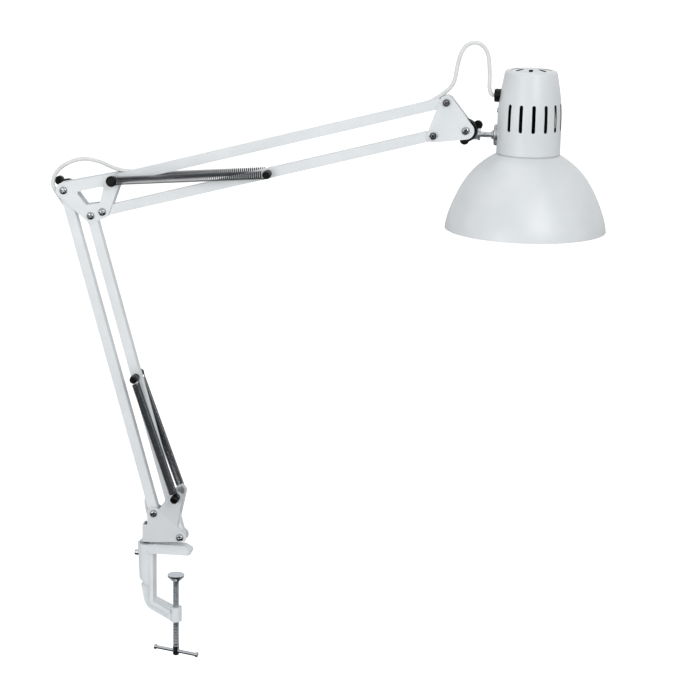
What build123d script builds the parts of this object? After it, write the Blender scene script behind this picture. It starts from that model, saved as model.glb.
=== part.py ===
# Clamp lamp: a table clamp, a swivelling bracket, two sprung parallel arms and a vented shade.
# Millimetres. +X runs along the table towards the shade, +Y away from the front, +Z up.
# The origin is on the underside of the upper jaw, on the axis of the clamping screw.

import os
from math import cos, pi, radians, sin, tan

from build123d import *

# Fits
running_gap = 0.05  # radial, a pivot in its hole
side_gap = 0.4  # a tube between its two plates
moving_gap = 0.3  # other faces that pass each other
lead_gap = 0.3  # a lead in its hole

# Square arm tubes
tube_size = 10.0
tube_wall = 1.0
lead_diameter = 4.0
lead_slot_length = 24.0
lead_slot_place = 14.5  # from the pivot to the middle of the slot

# Side plates, their pivot screws and nuts
plate_thickness = 1.5
pivot_diameter = 4.0
screw_head_radius = 4.0
screw_head_height = 2.4
nut_width = 7.0
nut_height = 3.2

# Arms: pivot to pivot lengths, angles at rest and the links between their two tubes
lower_arm_length = 352.0
lower_arm_lean = 15.2  # degrees from upright, top towards -X
lower_link = Vector(28.0, 0, -25.0)
upper_arm_length = 347.0
upper_arm_rise = 15.1  # degrees from level
upper_link = Vector(11.9, 0, 33.2)
base_rear_pivot = Vector(-22.5, 0, 43.0)
elbow_step = Vector(12.2, 0, 4.6)  # between the arms' lower pivots on the elbow

# Springs
spring_radius = 3.8  # to the middle of the wire
spring_wire = 1.4
spring_turns = 22
hook_turn_room = 2.6  # length along the spring from a hook to the first turn
lower_spring_place = 178.0  # along the front lower tube
upper_spring_place = 176.0  # along the bottom upper tube
spool_groove_place = 13.1  # from the middle plane to the middle of the spring
spool_groove_width = 3.4
spool_end_thickness = 3.4
tube_spool_radius = 4.5
elbow_spool_radius = 5.7
ear_spool_radius = 4.2
ear_spool_foot = 2.8

# Clamp casting
jaw_thickness = 8.5
jaw_edge = 3.2  # thickness of the jaw at its rim
jaw_slope = 6.0  # width of the sloping top inside the rim
jaw_reach = 17.0  # from the screw's axis to the tip of the jaw
jaw_width = 24.0
throat_depth = 39.8
frame_flange = 3.6
frame_flange_width = 18.0
frame_web = 6.0
frame_bend_depth = 55.0  # from the jaw to the start of the slanted foot
frame_knee_radius = 18.0
column_foot_depth = 40.0
column_taper = 2.0  # loss of radius from the collar to the foot
collar_radius = 10.2
swivel_radius = 5.5
swivel_depth = 24.0
swivel_seat_radius = 7.6
swivel_seat_depth = 2.5
swivel_stub_radius = 2.7
boss_radius = 6.2
boss_top_depth = 62.0
boss_height = 16.0
lock_screw_depth = 3.5
lock_head_radius = 3.0
lock_head_height = 4.6

# Clamping screw
clamp_screw_radius = 3.5
clamp_opening = 26.0
pad_radius = 9.0
pad_thickness = 6.0
screw_end_depth = 117.0
bar_radius = 1.9
bar_length = 48.0
bar_depth = 112.5
bar_angle = 17.0  # degrees, right end turned to the front
bar_head_radius = 2.9
bar_head_thickness = 2.2

# Swivelling bracket
bracket_left = -35.0
bracket_bottom = 11.0
bracket_web_top = 30.0
bracket_rise = 4.8  # degrees, slope of the lower edge in front of the swivel
bracket_lobe_radius = 7.0
ear_bend = 12.0  # degrees, outwards
ear_reach = 27.6
ear_shift = -14.0
ear_radius = 6.0
ear_root_span = (-17.0, 8.5)  # along the link, from its middle
gland_step = Vector(-5.0, 0, -10.0)  # from the rear pivot
gland_radius = 4.0

# Elbow plates
elbow_lobe_radius = 8.0
elbow_corner_radius = 6.9
elbow_window_steps = (  # from the rear, top, bottom and front pivots to the window's corners
    Vector(13.2, 0, -1.2),
    Vector(-10.3, 0, -6.8),
    Vector(-2.4, 0, 9.0),
    Vector(-4.9, 0, 11.1),
)

# Head plates, tilt joint and knobs
head_corner_radius = 6.8
head_lobe_radius = 8.5
head_tilt_step = Vector(31.6, 0, 5.9)  # from the lower head pivot to the tilt pivot
tilt_bolt_diameter = 5.0
stem_eye_thickness = 5.6
stem_eye_radius = 8.0
stem_drop = 3.6  # from the tilt pivot to the stem's axis
friction_disc_radius = 11.0
stem_flange_place = 12.0
stem_flange_thickness = 2.0
stem_flange_radius = 6.0
stem_radius = 2.75
knob_hub_radius = 7.5
knob_core_radius = 9.4
knob_lobe_radius = 4.6
knob_lobe_place = 11.5
knob_thickness = 9.0

# Shade: cap over dome, and the lampholder inside
head_offset = 61.8  # from the tilt pivot to the axis of the shade
cap_radius = 31.4
cap_drop = 16.6  # from the stem's axis to the cap's lower edge
cap_straight = 34.0
cap_height = 81.0
cap_top_radius = 26.0
cap_shoulder = 3.0
cap_crown = 2.0
cap_wall = 1.2
dome_radius = 80.0
dome_height = 76.0
dome_wall = 1.0
dome_neck = 8.0
seam_inset = 0.8  # the dome's shoulder lies inside and under the cap's edge
seam_drop = 0.6
cap_slot_count = 12
cap_slot_pitch = 23.0
cap_slot_width = 3.5
cap_slot_length = 27.0
cap_slot_place = 36.4  # from the cap's lower edge to the middle of the slots
top_slot_count = 8
top_slot_radius = 15.5
top_slot_length = 9.5
top_slot_width = 4.0
bush_radius = 6.5
bush_thickness = 7.2
bush_place = 55.5  # above the cap's lower edge
cap_screw_place = 41.0
saddle_boss_radius = 4.6
holder_radius = 20.0
holder_length = 48.0
holder_barrel = 43.0
holder_neck_radius = 14.5
holder_rise = 8.0  # from the cap's lower edge to the holder's mouth
socket_radius = 13.3
socket_wall = 0.8
socket_length = 24.0

os.makedirs("parts", exist_ok=True)


def save(piece, label):
    piece.label = label
    export_step(piece, f"parts/{label}.step")


def at_depth(y):
    # A plane facing the front at depth y, with X and Z as its own axes.
    return Plane.XZ.offset(-y)


def flat(point):
    return (point.X, point.Z)


def heading(angle):
    # Unit vector in the lamp's plane, in degrees up from +X.
    return Vector(cos(radians(angle)), 0, sin(radians(angle)))


def with_depth(point, y):
    return Vector(point.X, y, point.Z)


# Pivots at rest
lower_heading = heading(90 + lower_arm_lean)
upper_heading = heading(upper_arm_rise)
base_front_pivot = base_rear_pivot + lower_link
elbow_rear_pivot = base_rear_pivot + lower_heading * lower_arm_length
elbow_front_pivot = elbow_rear_pivot + lower_link
elbow_bottom_pivot = elbow_front_pivot + elbow_step
elbow_top_pivot = elbow_bottom_pivot + upper_link
head_bottom_pivot = elbow_bottom_pivot + upper_heading * upper_arm_length
head_top_pivot = elbow_top_pivot + upper_heading * upper_arm_length
tilt_pivot = head_bottom_pivot + head_tilt_step
stem_root = tilt_pivot - Vector(0, 0, stem_drop)
shade_axis_x = tilt_pivot.X + head_offset
lower_spring_pivot = base_front_pivot + lower_heading * lower_spring_place
upper_spring_pivot = elbow_bottom_pivot + upper_heading * upper_spring_place

# Depths of the stack from the middle plane outwards
tube_face = tube_size / 2
plate_inner = tube_face + side_gap
plate_outer = plate_inner + plate_thickness
pivot_radius = pivot_diameter / 2
pivot_hole = pivot_radius + running_gap
tilt_radius = tilt_bolt_diameter / 2
lead_radius = lead_diameter / 2
swivel_x = bracket_left + plate_thickness + swivel_stub_radius
frame_inner_x = jaw_reach - throat_depth
lock_seat_x = swivel_x - collar_radius + 1.2


# Clamp


def make_clamp_frame():
    flange_outer_x = frame_inner_x - frame_flange
    boss_base_depth = boss_top_depth + boss_height
    knee = (swivel_x - 1.9, -boss_top_depth - 1)
    web_outline = [
        (swivel_x - 6.5, -column_foot_depth + 2),
        knee,
        (-boss_radius + 1.3, -boss_base_depth),
        (0, -boss_base_depth + 2),
        (0, -boss_top_depth - 2),
        (flange_outer_x, -frame_bend_depth),
        (flange_outer_x, -column_foot_depth + 8),
    ]
    flange_outline = [
        (frame_inner_x, jaw_thickness / 2),
        (frame_inner_x, -frame_bend_depth),
        (-boss_radius + 1.5, -boss_top_depth - 2),
        (-boss_radius + 1.5, -boss_top_depth - frame_flange - 3),
        (flange_outer_x, -frame_bend_depth - 2),
        (flange_outer_x, jaw_thickness / 2),
    ]
    with BuildPart() as clamp_frame:
        with BuildSketch(Plane.XY.offset(-column_foot_depth)):
            with Locations((swivel_x, 0)):
                Circle(collar_radius - column_taper)
        with BuildSketch(Plane.XY.offset(jaw_thickness)):
            with Locations((swivel_x, 0)):
                Circle(collar_radius)
        loft()
        # The foot of the round column is cut on a slant.
        foot = Plane(
            origin=(swivel_x, 0, -column_foot_depth + 4.5), x_dir=(1, 0, -0.56), z_dir=(0.56, 0, 1)
        )
        split(bisect_by=foot, keep=Keep.TOP)
        # Inner flange and outer web of the hook-shaped frame.
        with BuildSketch(Plane.XZ):
            Polygon(*flange_outline, align=None)
        extrude(amount=frame_flange_width / 2, both=True)
        with BuildSketch(Plane.XZ):
            Polygon(*web_outline, align=None)
            fillet(vertices().sort_by_distance(knee)[0], frame_knee_radius)
        extrude(amount=frame_web / 2, both=True)
        # Boss for the clamping screw.
        with BuildSketch(Plane.XY.offset(-boss_base_depth)):
            Circle(boss_radius)
        extrude(amount=boss_height)
        # Throat for the table edge.
        with BuildSketch(Plane.XZ):
            with Locations((frame_inner_x, 0)):
                Rectangle(
                    collar_radius, frame_bend_depth, align=(Align.MIN, Align.MAX)
                )
        extrude(amount=collar_radius + 1, both=True, mode=Mode.SUBTRACT)
        # Upper jaw, a tongue with a thin rounded rim and a raised middle.
        jaw_length = jaw_reach - swivel_x
        with BuildPart(mode=Mode.PRIVATE) as jaw:
            with BuildSketch(Plane.XY):
                with Locations((jaw_reach, 0)):
                    RectangleRounded(jaw_length, jaw_width, 5, align=(Align.MAX, Align.CENTER))
            extrude(amount=jaw_edge)
            with BuildSketch(Plane.XY.offset(jaw_edge)):
                with Locations((jaw_reach, 0)):
                    RectangleRounded(jaw_length, jaw_width, 5, align=(Align.MAX, Align.CENTER))
            with BuildSketch(Plane.XY.offset(jaw_thickness)):
                with Locations((jaw_reach - jaw_slope, 0)):
                    RectangleRounded(
                        jaw_length - jaw_slope, jaw_width - 2 * jaw_slope, 2, align=(Align.MAX, Align.CENTER)
                    )
            loft()
        add(jaw.part)
        # Socket for the swivel, with a seat for its shoulder.
        with Locations((swivel_x, 0, jaw_thickness)):
            CounterBoreHole(
                swivel_radius + running_gap, swivel_seat_radius + moving_gap, swivel_seat_depth, swivel_depth
            )
        # Holes for the locking screw and for the clamping screw.
        with BuildSketch(Plane(origin=(lock_seat_x, 0, -lock_screw_depth), z_dir=(-1, 0, 0))):
            Circle(screw_head_radius)
        extrude(amount=collar_radius, mode=Mode.SUBTRACT)
        with BuildSketch(Plane(origin=(swivel_x, 0, -lock_screw_depth), z_dir=(-1, 0, 0))):
            Circle(pivot_radius)
        extrude(amount=2 * collar_radius, mode=Mode.SUBTRACT)
        with Locations((0, 0, -boss_top_depth)):
            Hole(clamp_screw_radius + running_gap, boss_height)
    return clamp_frame.part


def make_lock_screw():
    tip_x = swivel_x - swivel_radius - moving_gap
    facing = Plane(origin=(lock_seat_x, 0, -lock_screw_depth), z_dir=(-1, 0, 0))
    with BuildPart() as lock_screw:
        with BuildSketch(facing):
            Circle(lock_head_radius)
        extrude(amount=lock_head_height)
        fillet(lock_screw.faces().sort_by(Axis.X)[0].edges(), 1.2)
        with BuildSketch(facing):
            Circle(pivot_radius)
        extrude(amount=-(tip_x - lock_seat_x))
    return lock_screw.part


def make_clamp_screw():
    with BuildPart() as clamp_screw:
        with BuildSketch(Plane.XY.offset(-screw_end_depth)):
            Circle(clamp_screw_radius)
        extrude(amount=screw_end_depth - clamp_opening - pad_thickness / 2)
        chamfer(clamp_screw.faces().sort_by(Axis.Z)[0].edges(), 0.8)
        with Locations(Plane(origin=(0, 0, -bar_depth), z_dir=bar_direction)):
            Cylinder(bar_radius + running_gap, 4 * clamp_screw_radius, mode=Mode.SUBTRACT)
    return clamp_screw.part


def make_pressure_pad():
    profile_top = -clamp_opening
    with BuildPart() as pressure_pad:
        with BuildSketch(Plane.XZ):
            with BuildLine():
                Polyline(
                    (clamp_screw_radius, profile_top - pad_thickness / 2),
                    (0, profile_top - pad_thickness / 2),
                    (0, profile_top),
                    (pad_radius, profile_top),
                    (pad_radius, profile_top - pad_thickness / 3),
                    (clamp_screw_radius + 1.8, profile_top - pad_thickness),
                    (clamp_screw_radius, profile_top - pad_thickness),
                    close=True,
                )
            make_face()
        revolve(axis=Axis.Z)
    return pressure_pad.part


def make_tommy_bar():
    with BuildPart() as tommy_bar:
        with BuildSketch(Plane(origin=bar_start, z_dir=bar_direction)):
            Circle(bar_radius)
        extrude(amount=bar_length)
        for end, outwards in ((bar_start, -bar_direction), (bar_end, bar_direction)):
            with BuildSketch(Plane(origin=end, z_dir=outwards)):
                Circle(bar_head_radius)
            extrude(amount=bar_head_thickness)
        rims = tommy_bar.edges().filter_by(GeomType.CIRCLE).filter_by(lambda e: e.radius > bar_radius + 0.5)
        fillet(rims, 0.7)
    return tommy_bar.part


bar_direction = Vector(cos(radians(bar_angle)), -sin(radians(bar_angle)), 0)
bar_middle = Vector(0, 0, -bar_depth)
bar_start = bar_middle - bar_direction * (bar_length / 2)
bar_end = bar_middle + bar_direction * (bar_length / 2)

save(make_clamp_frame(), "clamp_frame")
save(make_lock_screw(), "swivel_lock_screw")
save(make_clamp_screw(), "clamp_screw")
save(make_pressure_pad(), "pressure_pad")
save(make_tommy_bar(), "tommy_bar")


# Swivelling bracket


link_heading = lower_link.normalized()
link_normal = Vector(-link_heading.Z, 0, link_heading.X)
gland_place = base_rear_pivot + gland_step
bend_middle = (base_rear_pivot + base_front_pivot) * 0.5 + link_normal * (bracket_lobe_radius - 0.3)


def ear_plane(side):
    # The plane of a bent ear's inner face; side is -1 in front and 1 behind.
    lean = link_normal * cos(radians(ear_bend)) + Vector(0, side, 0) * sin(radians(ear_bend))
    outwards = link_heading.cross(lean) * (1 if link_heading.cross(lean).Y * side > 0 else -1)
    return Plane(origin=with_depth(bend_middle, side * plate_inner), x_dir=link_heading, z_dir=outwards)


def ear_post(side):
    plane = ear_plane(side)
    lift = link_normal * cos(radians(ear_bend)) + Vector(0, side, 0) * sin(radians(ear_bend))
    return plane.origin + link_heading * ear_shift + lift * ear_reach


def make_base_bracket():
    with BuildPart() as base_bracket:
        for inner in (-plate_inner, plate_outer):
            with BuildSketch(at_depth(inner)):
                with Locations(flat(base_rear_pivot), flat(base_front_pivot)):
                    Circle(bracket_lobe_radius)
                with Locations(
                    (bracket_left + 7, bracket_bottom + 1), (bracket_left + 7, bracket_web_top - 1)
                ):
                    Circle(1)
                make_hull()
                with Locations((bracket_left + 1, bracket_bottom)):
                    Rectangle(8, bracket_web_top - bracket_bottom, align=Align.MIN)
                with Locations((0, bracket_bottom)):
                    Rectangle(120, 20, align=(Align.CENTER, Align.MAX), mode=Mode.SUBTRACT)
                with Locations((swivel_x + swivel_seat_radius, bracket_bottom)):
                    Rectangle(
                        60, 20, rotation=bracket_rise, align=(Align.MIN, Align.MAX), mode=Mode.SUBTRACT
                    )
                with Locations(flat(base_rear_pivot), flat(base_front_pivot)):
                    Circle(pivot_radius, mode=Mode.SUBTRACT)
            extrude(amount=plate_thickness)
        # Folded web that joins the two sides.
        with BuildSketch(Plane.XY.offset(bracket_bottom)):
            with Locations((bracket_left, 0)):
                Rectangle(plate_thickness + 2, 2 * plate_outer, align=(Align.MIN, Align.CENTER))
            fillet(vertices().group_by(Axis.X)[0], 2.4)
            with Locations((bracket_left + plate_thickness, 0)):
                Rectangle(10, 2 * plate_inner, align=(Align.MIN, Align.CENTER), mode=Mode.SUBTRACT)
        extrude(amount=bracket_web_top - bracket_bottom)
        # Ears bent outwards to hold the springs clear of the tubes.
        for side in (-1, 1):
            plane = ear_plane(side)
            up = 1 if plane.y_dir.Z > 0 else -1
            with BuildSketch(plane):
                with Locations((ear_shift, up * ear_reach)):
                    Circle(ear_radius)
                with Locations(*[(along, -up * 0.5) for along in ear_root_span]):
                    Circle(0.8)
                make_hull()
                with Locations((ear_shift, up * ear_reach)):
                    Circle(pivot_radius, mode=Mode.SUBTRACT)
            extrude(amount=plate_thickness)
        # Hole for the lead's gland in the back side.
        with BuildSketch(at_depth(plate_outer)):
            with Locations(flat(gland_place)):
                Circle(gland_radius - 1)
        extrude(amount=plate_thickness, mode=Mode.SUBTRACT)
    return base_bracket.part


def make_swivel_spigot():
    with BuildPart() as swivel_spigot:
        with BuildSketch(Plane.XY.offset(bracket_bottom)):
            with Locations((swivel_x, 0)):
                Circle(swivel_stub_radius)
        extrude(amount=bracket_web_top - bracket_bottom - 6)
        with BuildSketch(Plane.XY.offset(bracket_bottom)):
            with Locations((swivel_x, 0)):
                Circle(swivel_seat_radius)
        extrude(amount=-(bracket_bottom - jaw_thickness + swivel_seat_depth - running_gap))
        with BuildSketch(Plane.XY.offset(bracket_bottom)):
            with Locations((swivel_x, 0)):
                Circle(swivel_radius)
        extrude(amount=-(bracket_bottom - jaw_thickness + swivel_depth - 1))
        chamfer(swivel_spigot.faces().sort_by(Axis.Z)[0].edges(), 0.8)
    return swivel_spigot.part


def make_screws(points, radius, tip_y, heads_in_front=True):
    # Pan-head screws along Y; the underside of each head sits on the outer plate.
    with BuildPart() as screws:
        with BuildSketch(at_depth(tip_y)):
            with Locations(*[flat(p) for p in points]):
                Circle(radius)
        extrude(amount=tip_y + plate_outer)
        with BuildSketch(at_depth(-plate_outer)):
            with Locations(*[flat(p) for p in points]):
                Circle(screw_head_radius)
        extrude(amount=screw_head_height)
        fillet(screws.faces().group_by(Axis.Y)[0].edges(), 1.5)
    return screws.part if heads_in_front else screws.part.mirror(Plane.XZ)


def make_nuts(points, radius, width, in_front=False):
    with BuildPart() as nuts:
        with BuildSketch(at_depth(plate_outer + nut_height)):
            with Locations(*[flat(p) for p in points]):
                RegularPolygon(width / 2, 6, major_radius=False)
            with Locations(*[flat(p) for p in points]):
                Circle(radius, mode=Mode.SUBTRACT)
        extrude(amount=nut_height)
    return nuts.part.mirror(Plane.XZ) if in_front else nuts.part


def make_spool(plane, length_to_groove, end_radius):
    # A moulded spool on a pin: foot, groove for the spring's hook and a broad end.
    groove_radius = spring_radius - spring_wire / 2 - moving_gap
    groove_start = length_to_groove - spool_groove_width / 2
    groove_end = length_to_groove + spool_groove_width / 2
    spool_end = groove_end + spool_end_thickness
    with BuildPart() as spool:
        with BuildSketch(plane):
            Circle(groove_radius + 1.2)
        extrude(amount=groove_start)
        with BuildSketch(plane):
            Circle(groove_radius)
        extrude(amount=groove_end)
        with BuildSketch(plane.offset(groove_end)):
            Circle(end_radius)
        extrude(amount=spool_end_thickness)
        rims = spool.edges().filter_by(GeomType.CIRCLE).filter_by(lambda e: e.radius > end_radius - 0.01)
        fillet(rims, 0.8)
        with BuildSketch(plane):
            Circle(pivot_radius)
        extrude(amount=spool_end - 1.2, mode=Mode.SUBTRACT)
    return spool.part


def make_spool_pair(point, seat_y, end_radius):
    pair = []
    for side in (-1, 1):
        plane = Plane(origin=with_depth(point, side * seat_y), x_dir=(1, 0, 0), z_dir=(0, side, 0))
        pair.append(make_spool(plane, spool_groove_place - seat_y, end_radius))
    return Part(children=pair)


def make_pin(point, half_length):
    with BuildPart() as pin:
        with BuildSketch(at_depth(half_length)):
            with Locations(flat(point)):
                Circle(pivot_radius)
        extrude(amount=2 * half_length)
    return pin.part


spool_end_place = spool_groove_place + spool_groove_width / 2 + spool_end_thickness
pin_half_length = spool_end_place - 1.2
ear_groove_height = ear_spool_foot + spool_groove_width / 2


def make_ear_rivets():
    # A short screw and nut hold each spool to its ear.
    rivets = []
    for side in (-1, 1):
        plane = ear_plane(side)
        outer = Plane(origin=ear_post(side), x_dir=plane.x_dir, z_dir=plane.z_dir)
        with BuildPart() as rivet:
            with BuildSketch(outer):
                RegularPolygon(nut_width / 2, 6, major_radius=False)
            extrude(amount=-nut_height)
            with BuildSketch(outer):
                Circle(pivot_radius)
            spool_face = ear_groove_height + spool_groove_width / 2 + spool_end_thickness
            extrude(amount=plate_thickness + spool_face - 1.2)
        rivets.append(rivet.part)
    return Part(children=rivets)


def make_ear_spools():
    spools = []
    for side in (-1, 1):
        plane = ear_plane(side)
        outer = Plane(
            origin=ear_post(side) + plane.z_dir * plate_thickness, x_dir=plane.x_dir, z_dir=plane.z_dir
        )
        spools.append(make_spool(outer, ear_groove_height, ear_spool_radius))
    return Part(children=spools)


def make_lead_gland():
    with BuildPart() as lead_gland:
        with BuildSketch(at_depth(plate_outer)):
            with Locations(flat(gland_place)):
                Circle(gland_radius - 1)
        extrude(amount=plate_thickness)
        with BuildSketch(at_depth(plate_outer + 3)):
            with Locations(flat(gland_place)):
                Circle(gland_radius)
        extrude(amount=3)
        fillet(lead_gland.faces().sort_by(Axis.Y)[-1].edges(), 0.8)
        with BuildSketch(at_depth(plate_outer + 3)):
            with Locations(flat(gland_place)):
                Circle(lead_radius + running_gap)
        extrude(amount=10, mode=Mode.SUBTRACT)
    return lead_gland.part


base_pivots = [base_rear_pivot, base_front_pivot]
nut_tip = plate_outer + nut_height + 1.0

save(make_base_bracket(), "base_bracket")
save(make_swivel_spigot(), "swivel_spigot")
save(make_screws(base_pivots, pivot_radius, nut_tip), "base_pivot_screws")
save(make_nuts(base_pivots, pivot_radius, nut_width), "base_pivot_nuts")
save(make_ear_rivets(), "ear_rivets")
save(make_ear_spools(), "ear_spring_spools")
save(make_lead_gland(), "lead_gland")


# Arm tubes


def make_tube(start, along, length, cross_hole_place=None, slots_on=None):
    # A square tube with rounded ends, a pivot hole at each end, and slots where a lead goes in and out.
    up = Vector(0, -1, 0).cross(along)
    frame = Plane(origin=start, x_dir=along, z_dir=(0, -1, 0))
    bore = tube_size - 2 * tube_wall
    holes = [0, length] if cross_hole_place is None else [0, cross_hole_place, length]
    with BuildPart() as tube:
        with BuildSketch(frame):
            with Locations((length / 2, 0)):
                SlotCenterToCenter(length, tube_size)
        extrude(amount=tube_face, both=True)
        with BuildSketch(frame):
            with Locations((length / 2, 0)):
                Rectangle(length + 2 * tube_size, bore)
        extrude(amount=bore / 2, both=True, mode=Mode.SUBTRACT)
        with BuildSketch(frame):
            with Locations(*[(place, 0) for place in holes]):
                Circle(pivot_hole)
        extrude(amount=tube_size, both=True, mode=Mode.SUBTRACT)
        if slots_on is not None:
            with BuildSketch(Plane(origin=start, x_dir=along, z_dir=up * slots_on)):
                with Locations((lead_slot_place, 0), (length - lead_slot_place, 0)):
                    SlotOverall(lead_slot_length, lead_diameter + 2 * lead_gap)
            extrude(amount=tube_size, mode=Mode.SUBTRACT)
    return tube.part


save(make_tube(base_rear_pivot, lower_heading, lower_arm_length, slots_on=1), "lower_rear_tube")
save(make_tube(base_front_pivot, lower_heading, lower_arm_length, lower_spring_place), "lower_front_tube")
save(make_tube(elbow_top_pivot, upper_heading, upper_arm_length, slots_on=1), "upper_top_tube")
save(make_tube(elbow_bottom_pivot, upper_heading, upper_arm_length, upper_spring_place), "upper_bottom_tube")

save(make_pin(lower_spring_pivot, pin_half_length), "lower_spring_pin")
save(make_spool_pair(lower_spring_pivot, tube_face, tube_spool_radius), "lower_spring_spools")
save(make_pin(upper_spring_pivot, pin_half_length), "upper_spring_pin")
save(make_spool_pair(upper_spring_pivot, tube_face, tube_spool_radius), "upper_spring_spools")


# Elbow


elbow_corners = [elbow_rear_pivot, elbow_top_pivot, elbow_bottom_pivot, elbow_front_pivot]


def make_elbow_plate(inner):
    window = [corner + step for corner, step in zip(elbow_corners, elbow_window_steps)]
    with BuildPart() as elbow_plate:
        with BuildSketch(at_depth(inner)):
            with Locations(flat(elbow_rear_pivot)):
                Circle(elbow_lobe_radius)
            with Locations(*[flat(p) for p in elbow_corners[1:]]):
                Circle(elbow_corner_radius)
            make_hull()
            with BuildSketch(mode=Mode.SUBTRACT):
                Polygon(*[flat(p) for p in window], align=None)
                fillet(vertices(), 1.6)
            with Locations(*[flat(p) for p in elbow_corners]):
                Circle(pivot_radius, mode=Mode.SUBTRACT)
        extrude(amount=plate_thickness)
    return elbow_plate.part


def make_knob(point, bolt_radius):
    # Three-lobed hand knob that bears on the back plate.
    seat = plate_outer
    with BuildPart() as knob:
        with BuildSketch(at_depth(seat + knob_thickness)):
            with Locations(flat(point)):
                Circle(knob_core_radius)
                with PolarLocations(knob_lobe_place, 3, start_angle=20):
                    Circle(knob_lobe_radius)
            for angle in (20, 140, 260):
                with Locations(flat(point + heading(angle) * (knob_lobe_place / 2))):
                    Rectangle(knob_lobe_place, 2 * knob_lobe_radius - 1.6, rotation=angle)
        extrude(amount=knob_thickness - 2.5)
        fillet(knob.faces().sort_by(Axis.Y)[-1].edges(), 1.6)
        with BuildSketch(at_depth(seat + knob_thickness - 2)):
            with Locations(flat(point)):
                Circle(knob_hub_radius)
        extrude(amount=knob_thickness - 2 - moving_gap)
        with BuildSketch(at_depth(seat + knob_thickness - 2)):
            with Locations(flat(point)):
                Circle(bolt_radius + running_gap)
        extrude(amount=knob_thickness, mode=Mode.SUBTRACT)
    return knob.part


elbow_screw_points = [elbow_front_pivot, elbow_bottom_pivot]
knob_bolt_tip = plate_outer + knob_thickness - 2.6

save(make_elbow_plate(-plate_inner), "elbow_plate_front")
save(make_elbow_plate(plate_outer), "elbow_plate_back")
save(make_screws(elbow_screw_points, pivot_radius, nut_tip), "elbow_pivot_screws")
save(make_nuts(elbow_screw_points, pivot_radius, nut_width), "elbow_pivot_nuts")
save(make_screws([elbow_rear_pivot], pivot_radius, knob_bolt_tip), "elbow_knob_bolt")
save(make_knob(elbow_rear_pivot, pivot_radius), "elbow_knob")
save(make_pin(elbow_top_pivot, pin_half_length), "elbow_spring_pin")
save(make_spool_pair(elbow_top_pivot, plate_outer, elbow_spool_radius), "elbow_spring_spools")


# Springs


def biarc(start, start_heading, end, end_heading):
    # Two tangent arcs from one point and direction to the next; gives the joining point and direction.
    span = end - start
    both = start_heading + end_heading
    turn = 2 * (1 - start_heading.dot(end_heading))
    reach = span.dot(both)
    if turn < 1e-6:
        arm = span.dot(span) / (4 * span.dot(end_heading))
    else:
        arm = (-reach + (reach * reach + turn * span.dot(span)) ** 0.5) / turn
    first = start + start_heading * arm
    last = end - end_heading * arm
    return (first + last) * 0.5, (last - first).normalized()


def spring_stations(start, end):
    # Points and directions along the wire: hook, turns, hook.
    axis = (end - start).normalized()
    side = Vector(0, 1, 0).cross(axis).normalized()
    depth = axis.cross(side)
    length = (end - start).length
    first_turn = spring_radius + hook_turn_room
    lead_in = radians(35)  # where the first turn starts past the hook's side
    coil_turn = 2 * pi * spring_turns - 2 * lead_in
    rise = (length - 2 * first_turn) / coil_turn
    stations = []

    def hook(centre, outwards, across, angles):
        for angle in angles:
            a = radians(angle)
            point = centre + outwards * (spring_radius * cos(a)) + across * (spring_radius * sin(a))
            along = outwards * (-sin(a)) + across * cos(a)
            stations.append((point, along))

    hook(start, -axis, side, (-120, -45, 30, 90))
    steps = 2 * spring_turns
    for step in range(steps + 1):
        turned = coil_turn * step / steps
        angle = lead_in + turned
        point = (
            start
            + axis * (first_turn + rise * turned)
            + side * (spring_radius * cos(angle))
            + depth * (spring_radius * sin(angle))
        )
        along = side * (-sin(angle)) + depth * cos(angle) + axis * (rise / spring_radius)
        stations.append((point, along.normalized()))
    return stations, axis, side, depth


def make_spring(start, end):
    stations, axis, side, depth = spring_stations(start, end)
    # The second hook leaves the last turn on the same side and closes round its own post.
    for angle in (-90, -15, 60, 120):
        a = radians(angle)
        point = end + axis * (spring_radius * cos(a)) - side * (spring_radius * sin(a))
        along = axis * (-sin(a)) - side * cos(a)
        stations.append((point, along))
    with BuildPart() as spring:
        with BuildLine() as wire:
            for (a, a_along), (b, b_along) in zip(stations, stations[1:]):
                middle, middle_along = biarc(a, a_along, b, b_along)
                TangentArc(a, middle, tangent=a_along)
                TangentArc(middle, b, tangent=middle_along)
        with BuildSketch(Plane(origin=stations[0][0], z_dir=stations[0][1])):
            Circle(spring_wire / 2)
        sweep()
    return spring.part, wire.line


def least_gap(edges):
    # Least distance of the wire to itself between neighbouring turns, on points along its middle line.
    points = []
    travel = 0.0
    for edge in edges:
        for share in (0.0, 0.25, 0.5, 0.75):
            points.append((travel + share * edge.length, edge @ share))
        travel += edge.length
    reach = pi * spring_radius
    gaps = []
    for i, (s, p) in enumerate(points):
        gaps += [(p - q).length for t, q in points[i + 1 :] if t - s > reach]
    return min(gaps) - spring_wire


def ear_groove(side):
    plane = ear_plane(side)
    return ear_post(side) + plane.z_dir * (plate_thickness + ear_groove_height)


for side, place in ((-1, "front"), (1, "back")):
    groove = side * spool_groove_place
    for arm, start, end in (
        ("lower", with_depth(lower_spring_pivot, groove), ear_groove(side)),
        ("upper", with_depth(elbow_top_pivot, groove), with_depth(upper_spring_pivot, groove)),
    ):
        spring, wire = make_spring(start, end)
        label = f"{arm}_spring_{place}"
        wire_length = sum(edge.length for edge in wire.edges())
        ratio = spring.volume / (wire_length * pi * spring_wire**2 / 4)
        print(f"{label}: gap {least_gap(wire.edges()):.2f} mm, volume over section times length {ratio:.4f}")
        save(spring, label)


# Head plates, tilt joint and stem


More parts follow.
